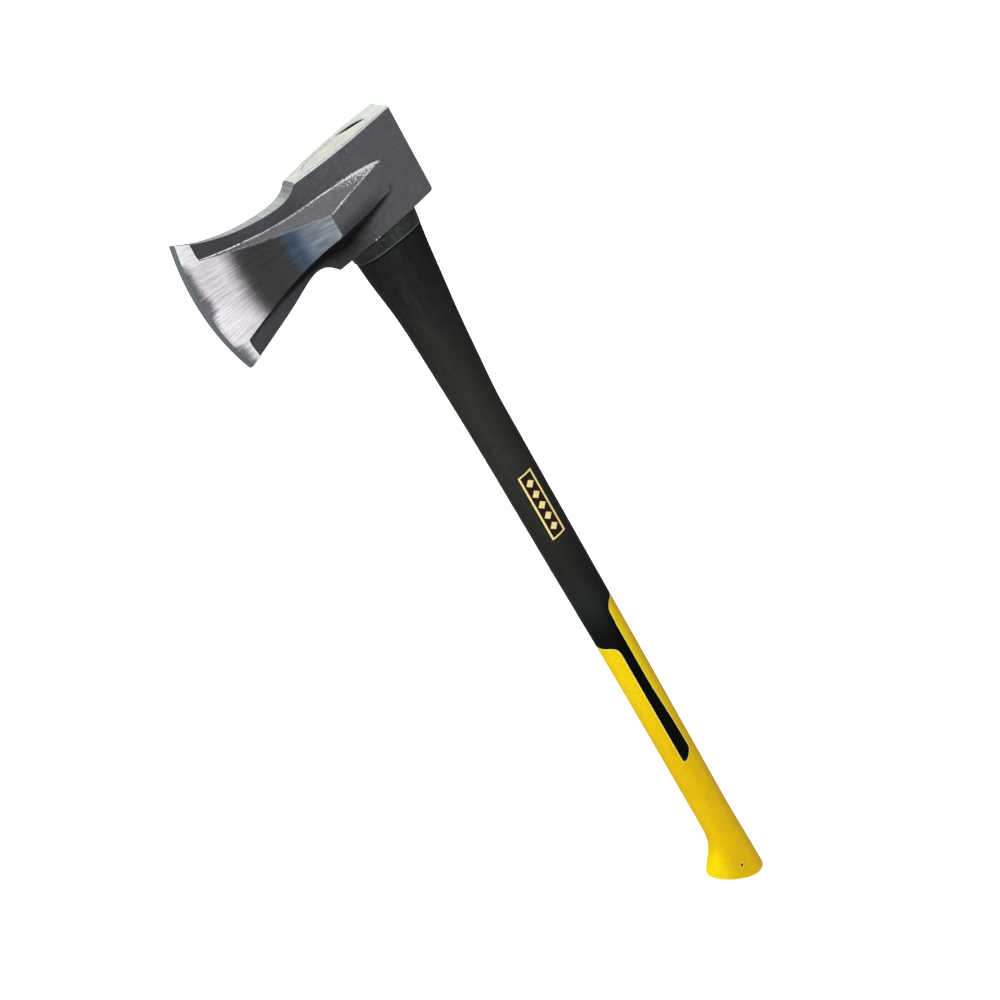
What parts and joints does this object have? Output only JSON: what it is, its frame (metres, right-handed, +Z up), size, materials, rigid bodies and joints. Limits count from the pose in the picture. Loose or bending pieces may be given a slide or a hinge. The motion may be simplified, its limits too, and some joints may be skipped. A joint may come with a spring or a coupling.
{
  "type": "splitting axe",
  "caption": "Long-handled splitting axe: wedge head with raised side wings, flat poll and a moulded fibreglass handle with a soft flared grip.",
  "frame": {"origin": "centre of the poll's flat striking face", "axes": "+X out of the poll face, away from the cutting edge; +Z up along the handle from butt to head; Y across the thickness"},
  "size_m": [0.2021, 0.06, 0.9373],
  "materials": {
    "head_steel": "satin charcoal paint on forged steel, ground bright on the edge and wings",
    "fibreglass": "sawn pultruded rod",
    "jacket_plastic": "fine matt moulded texture",
    "grip_rubber": "soft matt overmould",
    "resin": "cast resin, ground flush",
    "collar_plastic": "satin",
    "label_print": "printed film"
  },
  "bodies": {
    "root": {"axe_head": "head_steel", "fibreglass_core": "fibreglass", "handle_jacket": "jacket_plastic", "grip_overmould": "grip_rubber", "eye_resin": "resin", "eye_collar": "collar_plastic", "handle_label": "label_print"}
  },
  "joints": []
}
